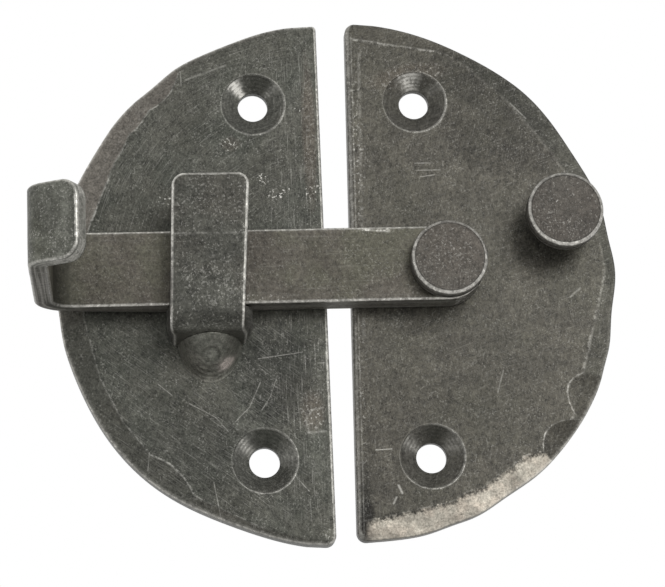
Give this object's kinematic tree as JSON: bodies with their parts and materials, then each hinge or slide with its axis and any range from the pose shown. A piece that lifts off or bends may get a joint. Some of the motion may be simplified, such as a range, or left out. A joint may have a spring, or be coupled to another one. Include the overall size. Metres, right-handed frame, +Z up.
{
  "type": "swing-over latch",
  "caption": "Hand-forged swing-over latch: a bar on one half-round plate swings over into an upright hook on the other and lifts by a finger curl.",
  "frame": {"origin": "middle of the four screw holes, on the plates' back faces", "axes": "+Z up, +X along the latched bar from its finger curl towards its pivot, +Y into the doors that the plates are screwed to, so that the face that is looked at points to -Y"},
  "size_m": [0.0919, 0.0377, 0.0854],
  "materials": {
    "left_plate_steel": "blackened and waxed, hammered at the rim, with fine scratches and brush marks",
    "right_plate_steel": "blackened and waxed, mottled brown scale, hammered at the rim",
    "keeper_steel": "blackened, speckled, with bright worn edges",
    "weld_bead": "rippled weld bead, brushed and waxed",
    "bar_steel": "blackened and waxed, mottled, with bright worn edges",
    "rivet_steel": "turned heads, blackened, with bright worn rims"
  },
  "bodies": {
    "plates": {"left_plate": "left_plate_steel", "keeper": "keeper_steel", "keeper_weld": "weld_bead", "right_plate": "right_plate_steel", "pivot_rivet": "rivet_steel", "stop_stud": "rivet_steel"},
    "bar": {"latch_bar": "bar_steel"}
  },
  "joints": [
    {"name": "bar_swing", "type": "hinge", "parent": "plates", "child": "bar", "pos_m": [0.01635, 0, 0.0007], "axis": [0, 1, 0], "range_deg": [0, 129]}
  ]
}
